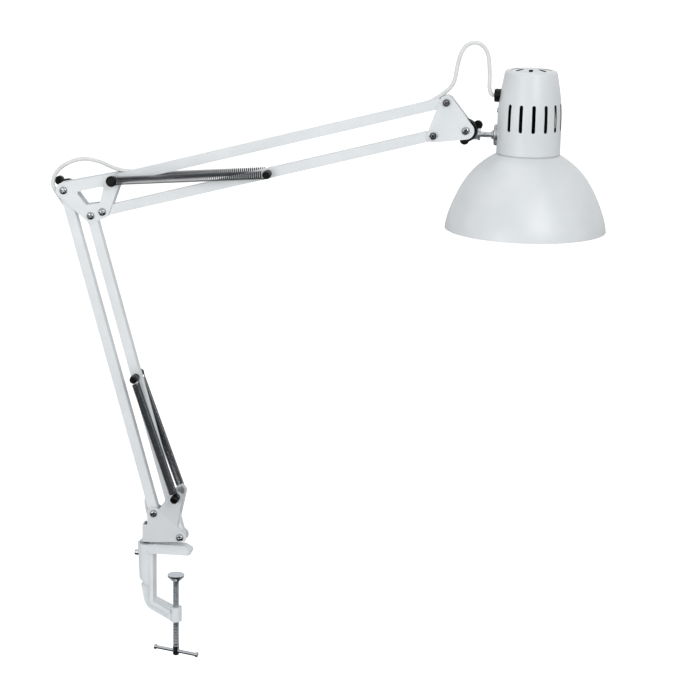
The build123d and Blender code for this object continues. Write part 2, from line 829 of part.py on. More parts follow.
def make_head_plate(inner):
    with BuildPart() as head_plate:
        with BuildSketch(at_depth(inner)):
            with Locations(flat(head_top_pivot), flat(head_bottom_pivot)):
                Circle(head_corner_radius)
            with Locations(flat(tilt_pivot)):
                Circle(head_lobe_radius)
            make_hull()
            with Locations(flat(head_top_pivot), flat(head_bottom_pivot)):
                Circle(pivot_radius, mode=Mode.SUBTRACT)
            with Locations(flat(tilt_pivot)):
                Circle(tilt_radius, mode=Mode.SUBTRACT)
        extrude(amount=plate_thickness)
    return head_plate.part


def make_friction_discs():
    disc_thickness = plate_inner - stem_eye_thickness / 2 - running_gap
    with BuildPart() as friction_discs:
        for depth in (-plate_inner + disc_thickness, plate_inner):
            with BuildSketch(at_depth(depth)):
                with Locations(flat(tilt_pivot)):
                    Circle(friction_disc_radius)
                    Circle(tilt_radius, mode=Mode.SUBTRACT)
            extrude(amount=disc_thickness)
    return friction_discs.part


def make_tilt_stem():
    stem_end = head_offset - cap_radius + cap_wall + 7
    with BuildPart() as tilt_stem:
        with BuildSketch(Plane.XZ):
            with Locations(flat(tilt_pivot)):
                Circle(stem_eye_radius)
            with Locations(flat(stem_root)):
                Rectangle(
                    stem_flange_place + 0.5, 2 * stem_flange_radius - 2, align=(Align.MIN, Align.CENTER)
                )
        extrude(amount=stem_eye_thickness / 2, both=True)
        with BuildSketch(Plane(origin=stem_root + Vector(stem_flange_place, 0, 0), z_dir=(1, 0, 0))):
            Circle(stem_flange_radius)
        extrude(amount=stem_flange_thickness)
        with BuildSketch(Plane(origin=stem_root + Vector(stem_flange_place, 0, 0), z_dir=(1, 0, 0))):
            Circle(stem_radius)
        extrude(amount=stem_end - stem_flange_place)
        with BuildSketch(Plane.XZ):
            with Locations(flat(tilt_pivot)):
                Circle(tilt_radius + running_gap)
        extrude(amount=tube_size, both=True, mode=Mode.SUBTRACT)
    return tilt_stem.part


head_pivots = [head_top_pivot, head_bottom_pivot]
save(make_head_plate(-plate_inner), "head_plate_front")
save(make_head_plate(plate_outer), "head_plate_back")
save(make_screws(head_pivots, pivot_radius, nut_tip, heads_in_front=False), "head_pivot_screws")
save(make_nuts(head_pivots, pivot_radius, nut_width, in_front=True), "head_pivot_nuts")
save(make_screws([tilt_pivot], tilt_radius, knob_bolt_tip), "tilt_bolt")
save(make_friction_discs(), "friction_discs")
save(make_knob(tilt_pivot, tilt_radius), "tilt_knob")
save(make_tilt_stem(), "tilt_stem")


# Shade and lampholder


cap_base_z = stem_root.Z - cap_drop
shade_origin = Vector(shade_axis_x, 0, cap_base_z)
shade_axis = Axis(shade_origin, (0, 0, 1))
shade_plane = Plane(origin=shade_origin, x_dir=(1, 0, 0), z_dir=(0, -1, 0))
seam_turn = radians(cap_slot_pitch)
seam_plane = Plane(
    origin=shade_origin, x_dir=(cos(seam_turn), sin(seam_turn), 0), z_dir=(sin(seam_turn), -cos(seam_turn), 0)
)


def cap_outline(inset):
    # Half section of the cap's wall, moved inwards; from the lower edge to the crown.
    radius = cap_radius - inset
    top_radius = cap_top_radius - inset
    height = cap_height - inset
    with BuildLine() as outline:
        straight = Line((radius, 0), (radius, cap_straight))
        taper = Spline(
            straight @ 1,
            (top_radius, height - cap_shoulder),
            tangents=((0, 1), (-0.16, 1)),
        )
        shoulder = ThreePointArc(
            taper @ 1,
            (top_radius - 0.4 * cap_shoulder, height - 0.25 * cap_shoulder),
            (top_radius - 1.4 * cap_shoulder, height),
        )
        ThreePointArc(
            shoulder @ 1,
            (top_radius / 2, height + 0.75 * cap_crown),
            (0, height + cap_crown),
        )
    return outline.line


def make_cap_block(inset):
    # The profile stands between two slots, so that no slot crosses the seam of the revolve.
    with BuildPart() as block:
        with BuildSketch(seam_plane):
            with BuildLine():
                add(cap_outline(inset))
                Polyline((0, cap_height - inset + cap_crown), (0, 0), (cap_radius - inset, 0))
            make_face()
        revolve(axis=shade_axis)
    return block.part


def side_plane(height):
    # A plane on the shade's axis that looks towards the arm, at a height above the cap's lower edge.
    return Plane(origin=shade_origin + Vector(0, 0, height), x_dir=(0, 1, 0), z_dir=(-1, 0, 0))


def make_shade_cap():
    with BuildPart() as shade_cap:
        add(make_cap_block(0))
        add(make_cap_block(cap_wall), mode=Mode.SUBTRACT)
        # Tall side slots, spread over the half away from the stem.
        first = -cap_slot_pitch * (cap_slot_count - 1) / 2
        for i in range(cap_slot_count):
            angle = first + cap_slot_pitch * i
            outwards = Vector(cos(radians(angle)), sin(radians(angle)), 0)
            facing = Plane(
                origin=shade_origin + Vector(0, 0, cap_slot_place), x_dir=(0, 0, 1), z_dir=outwards
            )
            with BuildSketch(facing):
                SlotOverall(cap_slot_length, cap_slot_width)
            extrude(amount=2 * cap_radius, mode=Mode.SUBTRACT)
        # Ring of slots in the crown.
        with BuildSketch(Plane(origin=shade_origin + Vector(0, 0, cap_height - 6))):
            with PolarLocations(top_slot_radius, top_slot_count, start_angle=0):
                SlotOverall(top_slot_length, top_slot_width)
        extrude(amount=20, mode=Mode.SUBTRACT)
        # Holes for the stem, the lead's bush and the holder's screw.
        for height, radius in (
            (cap_drop, stem_radius + running_gap),
            (bush_place, bush_radius - 2),
            (cap_screw_place, pivot_radius - 0.5),
        ):
            with BuildSketch(side_plane(height)):
                Circle(radius)
            extrude(amount=2 * cap_radius, mode=Mode.SUBTRACT)
    return shade_cap.part


def dome_curve(inset):
    # The skirt's outer or inner line; points are (radius, height from the cap's lower edge).
    return Spline(
        (cap_radius - seam_inset - 0.5 * inset, -seam_drop - 0.9 * inset),
        (0.725 * dome_radius - 0.7 * inset, -0.31 * dome_height - 0.7 * inset),
        (0.915 * dome_radius - 0.9 * inset, -0.68 * dome_height - 0.4 * inset),
        (dome_radius - inset, -dome_height),
        tangents=((1, -0.55), (0.13, -1)),
    )


def make_shade_dome():
    neck_radius = cap_radius - cap_wall - 0.1
    with BuildPart() as shade_dome:
        with BuildSketch(shade_plane):
            with BuildLine():
                outer = dome_curve(0)
                inner = dome_curve(dome_wall)
                Line(outer @ 1, inner @ 1)
                # Shoulder and neck; the cap slips over the neck.
                Polyline(
                    outer @ 0,
                    (cap_radius - seam_inset, 0),
                    (neck_radius, 0),
                    (neck_radius, dome_neck),
                    (neck_radius - dome_wall, dome_neck),
                    (neck_radius - dome_wall, -seam_drop - 0.9 * dome_wall),
                    inner @ 0,
                )
            make_face()
        revolve(axis=shade_axis)
    return shade_dome.part


def make_stem_saddle():
    with BuildPart() as stem_saddle:
        with BuildSketch(side_plane(cap_drop).offset(cap_radius - 3)):
            Ellipse(7, 10.5)
        extrude(amount=6)
        fillet(stem_saddle.faces().sort_by(Axis.X)[0].edges(), 1.5)
        with BuildSketch(side_plane(cap_drop).offset(cap_radius + 2.5)):
            Circle(saddle_boss_radius)
        extrude(amount=2.7)
        fillet(stem_saddle.faces().sort_by(Axis.X)[0].edges(), 0.9)
        add(make_cap_block(0), mode=Mode.SUBTRACT)
        with BuildSketch(side_plane(cap_drop)):
            Circle(stem_radius + running_gap)
        extrude(amount=2 * cap_radius, mode=Mode.SUBTRACT)
    return stem_saddle.part


def make_stem_nut():
    inside = cap_radius - cap_wall - 3
    with BuildPart() as stem_nut:
        with BuildSketch(side_plane(cap_drop).offset(inside)):
            RegularPolygon(5, 6, major_radius=False)
            Circle(stem_radius, mode=Mode.SUBTRACT)
        extrude(amount=-4)
        with BuildSketch(side_plane(cap_drop).offset(inside)):
            Circle(4.2)
            Circle(stem_radius, mode=Mode.SUBTRACT)
        extrude(amount=2.2)
    return stem_nut.part


def make_lead_bush():
    bush_inside = cap_radius - 6
    with BuildPart() as lead_bush:
        with BuildSketch(side_plane(bush_place).offset(bush_inside)):
            Circle(bush_radius - 2)
        extrude(amount=6)
        with BuildSketch(side_plane(bush_place).offset(cap_radius - 3.4)):
            Circle(bush_radius)
        extrude(amount=bush_thickness)
        fillet(lead_bush.faces().sort_by(Axis.X)[0].edges(), 1.2)
        with BuildPart(mode=Mode.PRIVATE) as ring:
            add(make_cap_block(0))
            add(make_cap_block(cap_wall), mode=Mode.SUBTRACT)
            with BuildSketch(side_plane(bush_place)):
                Circle(bush_radius - 2)
            extrude(amount=2 * cap_radius, mode=Mode.SUBTRACT)
        add(ring.part, mode=Mode.SUBTRACT)
        with BuildSketch(side_plane(bush_place)):
            Circle(lead_radius + running_gap)
        extrude(amount=2 * cap_radius, mode=Mode.SUBTRACT)
    return lead_bush.part.solids().sort_by(Axis.X)[0] if len(lead_bush.part.solids()) > 1 else lead_bush.part


def make_cap_screw():
    with BuildPart() as cap_screw:
        with BuildSketch(side_plane(cap_screw_place).offset(cap_radius - 1.2)):
            Circle(2.6)
        extrude(amount=2)
        fillet(cap_screw.faces().sort_by(Axis.X)[0].edges(), 1.2)
        add(make_cap_block(0), mode=Mode.SUBTRACT)
        with BuildSketch(side_plane(cap_screw_place).offset(cap_radius)):
            Circle(pivot_radius - 0.5)
        extrude(amount=-(cap_radius - holder_radius))
    return cap_screw.part


def make_lampholder():
    mouth = Plane(origin=shade_origin + Vector(0, 0, holder_rise))
    sleeve = socket_radius + socket_wall
    with BuildPart() as lampholder:
        with BuildSketch(mouth):
            Circle(holder_radius)
        extrude(amount=holder_barrel)
        with BuildSketch(mouth):
            Circle(holder_neck_radius)
        extrude(amount=holder_length)
        fillet(lampholder.faces().sort_by(Axis.Z)[-1].edges(), 3)
        with BuildSketch(mouth):
            Circle(sleeve)
        extrude(amount=socket_length + 4, mode=Mode.SUBTRACT)
    return lampholder.part


def make_socket_shell():
    mouth = Plane(origin=shade_origin + Vector(0, 0, holder_rise + 1.5))
    with BuildPart() as socket_shell:
        with BuildSketch(mouth):
            Circle(socket_radius + socket_wall)
            Circle(socket_radius, mode=Mode.SUBTRACT)
        extrude(amount=socket_length)
    return socket_shell.part


def make_socket_contact():
    top = Plane(origin=shade_origin + Vector(0, 0, holder_rise + socket_length + 4))
    with BuildPart() as socket_contact:
        with BuildSketch(top):
            Circle(5)
        extrude(amount=-1)
        with BuildSketch(top):
            Circle(2.5)
        extrude(amount=-1.8)
    return socket_contact.part


def make_holder_bracket():
    # An angle strip from the holder's shoulder to the screw in the cap's side.
    strip = 1.5
    with BuildPart() as holder_bracket:
        with BuildSketch(side_plane(cap_screw_place).offset(holder_radius)):
            Rectangle(9, 13)
            Circle(pivot_radius - 0.5, mode=Mode.SUBTRACT)
        extrude(amount=strip)
    return holder_bracket.part


save(make_shade_cap(), "shade_cap")
save(make_shade_dome(), "shade_dome")
save(make_stem_saddle(), "stem_saddle")
save(make_stem_nut(), "stem_nut")
save(make_lead_bush(), "lead_bush")
save(make_cap_screw(), "cap_screw")
save(make_lampholder(), "lampholder")
save(make_socket_shell(), "socket_shell")
save(make_socket_contact(), "socket_contact")
save(make_holder_bracket(), "holder_bracket")


# Leads: straight runs joined by tangent arcs


def corner_radii(points):
    # Each arc takes nearly half of its shorter run, or nearly all of a run at an end.
    runs = [(b - a).length for a, b in zip(points, points[1:])]
    room = [0.45 * run for run in runs]
    room[0] *= 2
    room[-1] *= 2
    radii = []
    for i, (before, here, after) in enumerate(zip(points, points[1:], points[2:])):
        turn = (here - before).get_angle(after - here)
        radii.append(min(room[i], room[i + 1]) / tan(radians(turn / 2)))
    return radii


def make_lead(points, label):
    points = [Vector(p) for p in points]
    radii = corner_radii(points)
    with BuildPart() as lead:
        with BuildLine() as route:
            FilletPolyline(*points, radius=radii)
        with BuildSketch(Plane(origin=points[0], z_dir=points[1] - points[0])):
            Circle(lead_radius)
        sweep()
    length = sum(edge.length for edge in route.line.edges())
    ratio = lead.part.volume / (length * pi * lead_radius**2)
    print(
        f"{label}: length {length:.1f} mm, least radius {min(radii):.1f} mm,"
        f" volume over section times length {ratio:.4f}"
    )
    save(lead.part, label)


def make_straight_lead(start, end, label):
    with BuildPart() as lead:
        with BuildSketch(Plane(origin=start, z_dir=end - start)):
            Circle(lead_radius)
        extrude(amount=(end - start).length)
    save(lead.part, label)


def on_lower(place):
    # A point on the middle line of the rear lower tube.
    return base_rear_pivot + lower_heading * place


def on_upper(place):
    return elbow_top_pivot + upper_heading * place


lead_inset = 42.0  # from a pivot to where the lead lies straight in its tube
lead_turn = 28.0  # from a pivot to where the lead turns towards its slot
bush_z = cap_base_z + bush_place
bush_face_x = shade_axis_x - (cap_radius - 3.4 + bush_thickness)
holder_top_z = cap_base_z + holder_rise + holder_length

lower_lead_end = on_lower(lower_arm_length - lead_inset)
upper_lead_end = on_upper(upper_arm_length - lead_inset)
make_straight_lead(on_lower(lead_inset), lower_lead_end, "lower_tube_lead")
make_straight_lead(on_upper(lead_inset), upper_lead_end, "upper_tube_lead")

bush_face = Vector(bush_face_x, 0, bush_z)

make_lead(
    [
        on_lower(lead_inset),
        on_lower(lead_turn),
        base_rear_pivot + Vector(-9.9, 0, 10.5),
        base_rear_pivot + Vector(-7.9, 0, 0),
        gland_place,
        with_depth(gland_place, plate_outer + 3),
    ],
    "base_lead",
)
make_lead(
    [
        lower_lead_end,
        on_lower(lower_arm_length - lead_turn),
        elbow_rear_pivot + Vector(-6.2, 0, -7.7),
        elbow_rear_pivot + Vector(-14.7, 0, 5.3),
        elbow_rear_pivot + Vector(-7.2, 0, 21.8),
        elbow_rear_pivot + Vector(14.3, 0, 32.9),
        elbow_top_pivot + Vector(-17.3, 0, 18.5),
        elbow_top_pivot + Vector(1.7, 0, 9.8),
        elbow_top_pivot + Vector(17.7, 0, 8.6),
        on_upper(lead_turn + 4),
        on_upper(lead_inset),
    ],
    "elbow_lead",
)
make_lead(
    [
        upper_lead_end,
        on_upper(upper_arm_length - lead_turn),
        head_top_pivot + Vector(-16.3, 0, -0.3),
        head_top_pivot + Vector(-4.3, 0, 7.3),
        head_top_pivot + Vector(7.2, 0, 18.1),
        head_top_pivot + Vector(9.4, 0, 38.1),
        head_top_pivot + Vector(14.7, 0, 55.1),
        head_top_pivot + Vector(27.2, 0, 60.1),
        bush_face + Vector(-7.6, 0, 43.1),
        bush_face + Vector(-5.4, 0, 20.1),
        bush_face + Vector(-5.4, 0, 0),
        bush_face,
    ],
    "head_lead",
)
make_lead(
    [
        bush_face,
        bush_face + Vector(15, 0, 0),
        (bush_face_x + 21, 0, holder_top_z + 12),
        (shade_axis_x, 0, holder_top_z + 12),
        (shade_axis_x, 0, holder_top_z),
    ],
    "holder_lead",
)
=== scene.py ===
import math

import bmesh
import bpy
from mathutils import Matrix, Vector
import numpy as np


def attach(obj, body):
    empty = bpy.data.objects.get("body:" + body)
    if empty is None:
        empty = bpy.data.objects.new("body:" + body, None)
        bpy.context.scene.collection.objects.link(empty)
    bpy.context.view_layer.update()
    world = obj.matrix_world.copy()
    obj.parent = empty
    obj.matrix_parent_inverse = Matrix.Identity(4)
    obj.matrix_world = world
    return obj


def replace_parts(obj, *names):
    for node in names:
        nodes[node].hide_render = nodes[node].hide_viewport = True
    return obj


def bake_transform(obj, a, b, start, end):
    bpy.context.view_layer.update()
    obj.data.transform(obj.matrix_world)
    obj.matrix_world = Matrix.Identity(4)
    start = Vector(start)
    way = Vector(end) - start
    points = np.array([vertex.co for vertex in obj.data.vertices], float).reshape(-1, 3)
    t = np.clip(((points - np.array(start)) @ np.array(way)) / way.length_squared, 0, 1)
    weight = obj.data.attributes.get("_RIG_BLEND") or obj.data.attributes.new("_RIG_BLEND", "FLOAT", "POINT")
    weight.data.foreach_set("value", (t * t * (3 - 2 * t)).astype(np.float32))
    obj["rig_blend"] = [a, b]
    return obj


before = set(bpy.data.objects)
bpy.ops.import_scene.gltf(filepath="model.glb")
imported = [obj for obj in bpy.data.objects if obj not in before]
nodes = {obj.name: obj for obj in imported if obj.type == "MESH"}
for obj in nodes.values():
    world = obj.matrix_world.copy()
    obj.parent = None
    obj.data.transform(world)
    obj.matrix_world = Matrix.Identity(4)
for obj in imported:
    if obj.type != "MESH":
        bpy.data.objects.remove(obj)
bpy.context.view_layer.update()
scene = bpy.context.scene
scene.view_settings.view_transform = "Standard"
mm = 0.001
right = Vector((1, 0, 0))
up = Vector((0, 0, 1))
shadeAxis = (0.353828, 0.0, 0.438381)  # on the cap's lower edge
shadeX = shadeAxis[0] / mm


# small helpers used all over

def at(x, z, y=0.0):
    # a point given in millimetres, lamp plane first
    return Vector((x, y, z)) * mm


def hexToLinear(code):
    out = []
    for i in (1, 3, 5):
        c = int(code[i:i + 2], 16) / 255
        out.append(c / 12.92 if c <= 0.04045 else ((c + 0.055) / 1.055) ** 2.4)
    return (*out, 1.0)


def addNode(tree, kind, links=None, stops=(), **settings):
    # links: input name or index -> value, or (node, output name); stops: places and colours of a colour ramp
    node = tree.nodes.new(kind)
    for key, value in settings.items():
        setattr(node, key, value)
    for key, value in (links or {}).items():
        if isinstance(value, tuple) and hasattr(value[0], "outputs"):
            tree.links.new(value[0].outputs[value[1]], node.inputs[key])
        else:
            node.inputs[key].default_value = value
    for i, (place, code) in enumerate(stops):
        node.color_ramp.elements[i].position = place
        node.color_ramp.elements[i].color = hexToLinear(code)
    return node


def newMaterial(name):
    mat = bpy.data.materials.new(name)
    mat.use_nodes = True
    tree = mat.node_tree
    tree.nodes.clear()
    coords = addNode(tree, "ShaderNodeTexCoord")
    return mat, tree, (coords, "Object")


def closeMaterial(tree, **sockets):
    names = {"color": "Base Color", "rough": "Roughness", "metal": "Metallic", "bump": "Normal", "ior": "IOR",
             "coat": "Coat Weight", "coatRough": "Coat Roughness", "specular": "Specular IOR Level"}
    shader = addNode(tree, "ShaderNodeBsdfPrincipled", {names[k]: v for k, v in sockets.items()})
    addNode(tree, "ShaderNodeOutputMaterial", {"Surface": (shader, "BSDF")})


def perMm(size):
    # texture scale for a feature of that many millimetres
    return 1000.0 / size


def addPiece(name, mesh, body, material):
    # a lead or spring has no body here, because it is blended between two
    obj = bpy.data.objects.new(name, mesh)
    scene.collection.objects.link(obj)
    mesh.materials.clear()
    mesh.materials.append(material)
    for poly in mesh.polygons:
        poly.use_smooth = True
    if body:
        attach(obj, body)
    return obj


def meshFrom(bm, name):
    bmesh.ops.remove_doubles(bm, verts=bm.verts, dist=0.00001)
    bmesh.ops.recalc_face_normals(bm, faces=bm.faces)
    mesh = bpy.data.meshes.new(name)
    bm.to_mesh(mesh)
    bm.free()
    return mesh


def keepSharp(obj, degrees=35):
    obj.data.set_sharp_from_angle(angle=math.radians(degrees))


# finishes

def innerSide(tree, place):
    # one inside the cap and on the walls of its slots, nought on the outside: it marks where painted shade
    # goes
    coords = place[0]
    spoke = addNode(tree, "ShaderNodeVectorMath", {0: place, 1: shadeAxis}, operation="SUBTRACT")
    level = addNode(tree, "ShaderNodeVectorMath", {0: (spoke, 0), 1: (1, 1, 0)}, operation="MULTIPLY")
    facing = addNode(tree, "ShaderNodeVectorMath", {0: (level, 0), 1: (coords, "Normal")},
                     operation="DOT_PRODUCT")
    inwards = addNode(tree, "ShaderNodeMath", {0: (facing, "Value"), 1: 0.02}, operation="LESS_THAN")
    split = addNode(tree, "ShaderNodeSeparateXYZ", {0: (coords, "Normal")})
    notUp = addNode(tree, "ShaderNodeMath", {0: (split, "Z"), 1: 0.5}, operation="LESS_THAN")
    return (addNode(tree, "ShaderNodeMath", {0: (inwards, 0), 1: (notUp, 0)}, operation="MINIMUM"), 0)


def whiteEnamel(name, sheen, peel, shade, tint, primerAndShadeInside=False):
    # sprayed white enamel on steel: half gloss, with the slight orange peel of a sprayed coat
    mat, tree, place = newMaterial(name)
    cloud = addNode(tree, "ShaderNodeTexNoise", {"Vector": place, "Scale": perMm(35), "Detail": 2})
    peelNoise = addNode(tree, "ShaderNodeTexNoise", {"Vector": place, "Scale": perMm(peel), "Detail": 1})
    coat = addNode(tree, "ShaderNodeValToRGB", {"Fac": (cloud, "Fac")}, stops=[(0.3, shade), (0.7, tint)])
    color = (coat, "Color")
    if primerAndShadeInside:
        # painted shade: the inside of the cap is painted near black, darker than its dark primer, and the
        # walls of the slots are painted black too, so the slots look dark
        primerAndShade = addNode(tree, "ShaderNodeValToRGB", {"Fac": (cloud, "Fac")},
                         stops=[(0.3, "#141516"), (0.7, "#232425")])
        both = addNode(tree, "ShaderNodeMix", {0: innerSide(tree, place), 6: color, 7: (primerAndShade, "Color")},
                       data_type="RGBA")
        color = (both, 2)
    gloss = addNode(tree, "ShaderNodeMapRange",
                    {"Value": (cloud, "Fac"), "To Min": sheen - 0.05, "To Max": sheen + 0.06})
    bump = addNode(tree, "ShaderNodeBump",
                   {"Height": (peelNoise, "Fac"), "Strength": 0.05, "Distance": 0.0002})
    closeMaterial(tree, color=color, rough=(gloss, "Result"), bump=(bump, "Normal"), ior=1.5, coat=0.12,
                  coatRough=0.2)
    return mat


def platedSteel(name, shade, tint, rough, streak):
    # plated or drawn steel: grey metal with fine turning marks
    mat, tree, place = newMaterial(name)
    stretch = addNode(tree, "ShaderNodeMapping", {"Vector": place, "Scale": (1.0, 6.0, 1.0)})
    marks = addNode(tree, "ShaderNodeTexNoise",
                    {"Vector": (stretch, "Vector"), "Scale": perMm(streak), "Detail": 3})
    metal = addNode(tree, "ShaderNodeValToRGB", {"Fac": (marks, "Fac")}, stops=[(0.25, shade), (0.75, tint)])
    gloss = addNode(tree, "ShaderNodeMapRange",
                    {"Value": (marks, "Fac"), "To Min": rough - 0.06, "To Max": rough + 0.08})
    bump = addNode(tree, "ShaderNodeBump", {"Height": (marks, "Fac"), "Strength": 0.06, "Distance": 0.0001})
    closeMaterial(tree, color=(metal, "Color"), rough=(gloss, "Result"), bump=(bump, "Normal"), metal=1.0)
    return mat


def mouldedNylon(name, dark, light, grain):
    # black moulded nylon: satin, with a fine spark-eroded grain drawn coarse enough to show
    mat, tree, place = newMaterial(name)
    speck = addNode(tree, "ShaderNodeTexNoise", {"Vector": place, "Scale": perMm(grain), "Detail": 2})
    resin = addNode(tree, "ShaderNodeValToRGB", {"Fac": (speck, "Fac")}, stops=[(0.3, dark), (0.75, light)])
    gloss = addNode(tree, "ShaderNodeMapRange", {"Value": (speck, "Fac"), "To Min": 0.28, "To Max": 0.42})
    bump = addNode(tree, "ShaderNodeBump", {"Height": (speck, "Fac"), "Strength": 0.18, "Distance": 0.0002})
    closeMaterial(tree, color=(resin, "Color"), rough=(gloss, "Result"), bump=(bump, "Normal"), ior=1.53,
                  specular=0.15)
    return mat


def softPvc(name):
    # extruded white PVC sheath: dull gloss, a touch warmer and greyer where it is handled
    mat, tree, place = newMaterial(name)
    cloud = addNode(tree, "ShaderNodeTexNoise", {"Vector": place, "Scale": perMm(14), "Detail": 3})
    sheath = addNode(tree, "ShaderNodeValToRGB", {"Fac": (cloud, "Fac")},
                     stops=[(0.3, "#dfe1e0"), (0.7, "#eaecec")])
    bump = addNode(tree, "ShaderNodeBump", {"Height": (cloud, "Fac"), "Strength": 0.05, "Distance": 0.0003})
    closeMaterial(tree, color=(sheath, "Color"), rough=0.42, bump=(bump, "Normal"), ior=1.52)
    return mat


def dieCastZinc(name):
    # satin zinc casting: grey, with a soft cloudy skin
    mat, tree, place = newMaterial(name)
    cloud = addNode(tree, "ShaderNodeTexNoise", {"Vector": place, "Scale": perMm(3), "Detail": 4})
    skin = addNode(tree, "ShaderNodeValToRGB", {"Fac": (cloud, "Fac")},
                   stops=[(0.3, "#8d9093"), (0.7, "#babcbf")])
    bump = addNode(tree, "ShaderNodeBump", {"Height": (cloud, "Fac"), "Strength": 0.12, "Distance": 0.0002})
    closeMaterial(tree, color=(skin, "Color"), rough=0.3, bump=(bump, "Normal"), metal=1.0)
    return mat


def rolledBrass(name):
    # thin rolled brass, lightly tarnished
    mat, tree, place = newMaterial(name)
    cloud = addNode(tree, "ShaderNodeTexNoise", {"Vector": place, "Scale": perMm(5), "Detail": 4})
    tarnish = addNode(tree, "ShaderNodeValToRGB", {"Fac": (cloud, "Fac")},
                      stops=[(0.3, "#a98645"), (0.7, "#cfb06c")])
    closeMaterial(tree, color=(tarnish, "Color"), rough=0.3, metal=1.0)
    return mat


tubeEnamel = whiteEnamel("tube enamel", 0.34, 1.8, "#e2e7e9", "#eaeef0")
# the bracket's white enamel is painted darker than the arms' as painted shade, for the dimmer light at the
# lamp's foot
bracketEnamelShaded = whiteEnamel("folded bracket enamel, painted darker", 0.36, 1.8, "#d5d9dc", "#dde1e4")
castEnamel = whiteEnamel("cast iron enamel", 0.42, 3.2, "#dfe4e7", "#e7ecef")
# the shade's and cap's white enamel is painted a little darker than the arms' as painted shade, against the
# key lamp's stronger light on the dome
domeEnamelDimmed = whiteEnamel("spun shade enamel, painted dimmer", 0.38, 2.2, "#dbe0e2", "#e3e7e9")
capEnamelDimmed = whiteEnamel("spun cap enamel, painted dimmer", 0.38, 2.2, "#dbe0e2", "#e3e7e9", primerAndShadeInside=True)
zincPlate = platedSteel("bright zinc plate", "#7e8185", "#b9bcbf", 0.12, 0.8)
drawnSteel = platedSteel("drawn bright steel", "#94989d", "#cdd1d5", 0.17, 1.2)
springWire = platedSteel("black drawn spring wire", "#2b2d30", "#6e7176", 0.14, 0.5)
blackNylon = mouldedNylon("moulded black nylon", "#060607", "#101112", 0.7)
frictionFibre = mouldedNylon("pressed black fibre", "#070708", "#131415", 1.2)
whitePvc = softPvc("white PVC sheath")
castZinc = dieCastZinc("satin die cast zinc")
phenolic = mouldedNylon("moulded black phenolic", "#0b0a0a", "#191817", 1.6)
brass = rolledBrass("rolled brass")

nodeFinish = {
    castEnamel: ["clamp_frame"],
    bracketEnamelShaded: ["base_bracket"],
    tubeEnamel: ["lower_rear_tube", "lower_front_tube", "upper_top_tube", "upper_bottom_tube",
                 "elbow_plate_front", "elbow_plate_back", "head_plate_front", "head_plate_back"],
    domeEnamelDimmed: ["shade_dome"],
    capEnamelDimmed: ["shade_cap"],
    zincPlate: ["base_pivot_screws", "base_pivot_nuts", "lower_spring_pin", "elbow_pivot_screws",
                "elbow_pivot_nuts", "elbow_knob_bolt", "elbow_spring_pin", "upper_spring_pin",
                "head_pivot_screws", "head_pivot_nuts", "tilt_bolt", "stem_nut", "holder_bracket"],
    drawnSteel: ["swivel_lock_screw", "clamp_screw", "pressure_pad", "tommy_bar", "swivel_spigot",
                 "cap_screw"],
    blackNylon: ["ear_spring_spools", "lower_spring_spools", "elbow_spring_spools", "upper_spring_spools",
                 "lead_gland", "elbow_knob", "tilt_knob", "lead_bush"],
    frictionFibre: ["friction_discs"],
    whitePvc: ["lower_tube_lead", "upper_tube_lead", "holder_lead"],
    castZinc: ["tilt_stem", "stem_saddle", "ear_rivets"],
    phenolic: ["lampholder"],
    brass: ["socket_shell", "socket_contact"],
}
for finish, names in nodeFinish.items():
    for name in names:
        slots = nodes[name].data.materials
        slots.clear()
        slots.append(finish)
print("finishes on", sum(len(v) for v in nodeFinish.values()), "CAD nodes")


# camera

view = {"azimuth": 7.0, "pitch": 14.0, "roll": 1.2, "lens": 102.86, "place": (0.4226, -1.9661, 0.7231)}


def makeCamera():
    data = bpy.data.cameras.new("photo view")
    data.sensor_width = 36
    data.sensor_fit = "HORIZONTAL"
    data.lens = view["lens"]
    data.clip_end = 40
    cam = bpy.data.objects.new("photo view", data)
    scene.collection.objects.link(cam)
    az, pitch, roll = (math.radians(view[k]) for k in ("azimuth", "pitch", "roll"))
    ahead = Vector((-math.sin(az) * math.cos(pitch), math.cos(az) * math.cos(pitch), -math.sin(pitch)))
    sideways = ahead.cross(up).normalized()
    upwards = sideways.cross(ahead)
    leanRight = sideways * math.cos(roll) + upwards * math.sin(roll)
    leanUp = upwards * math.cos(roll) - sideways * math.sin(roll)
    turn = Matrix((leanRight, leanUp, -ahead)).transposed()
    cam.matrix_world = Matrix.Translation(view["place"]) @ turn.to_4x4()
    scene.camera = cam


makeCamera()


# screws, nuts and the threaded spindle

pivot = {
    "baseRear": at(-22.5, 43),
    "baseFront": at(5.5, 18),
    "elbowRear": at(-114.791, 382.686),
    "elbowFront": at(-86.791, 357.686),
    "elbowBottom": at(-74.591, 362.286),
    "elbowTop": at(-62.691, 395.486),
    "headBottom": at(260.428, 452.681),
    "headTop": at(272.328, 485.881),
    "tilt": at(292.028, 458.581),
}
fastener = {
    "plateFace": 6.9,
    "headRadius": 4.0,
    "headHeight": 2.4,
    "recess": 5.2,
    "recessWidth": 1.3,
    "recessDepth": 2.0,
    "nutWidth": 7.0,
    "nutHeight": 3.2,
    "bore": 2.0,
    "steps": 28,
    "screwTurns": (28, 47),  # degrees: the first one's turn, and what each next one adds
    "nutTurns": (11, 23),
}


def lathe(bm, profile, centre, axis, spoke, closed=False):
    # profile points are radius and distance along the axis, in millimetres
    verts = [bm.verts.new(centre + (spoke * r + axis * d) * mm) for r, d in profile]
    ends = verts[1:] + verts[:1] if closed else verts[1:]
    edges = [bm.edges.new(pair) for pair in zip(verts, ends)]
    bmesh.ops.spin(bm, geom=verts + edges, cent=centre, axis=axis, angle=2 * math.pi,
                   steps=fastener["steps"], dvec=(0, 0, 0), use_merge=True, use_duplicate=False)


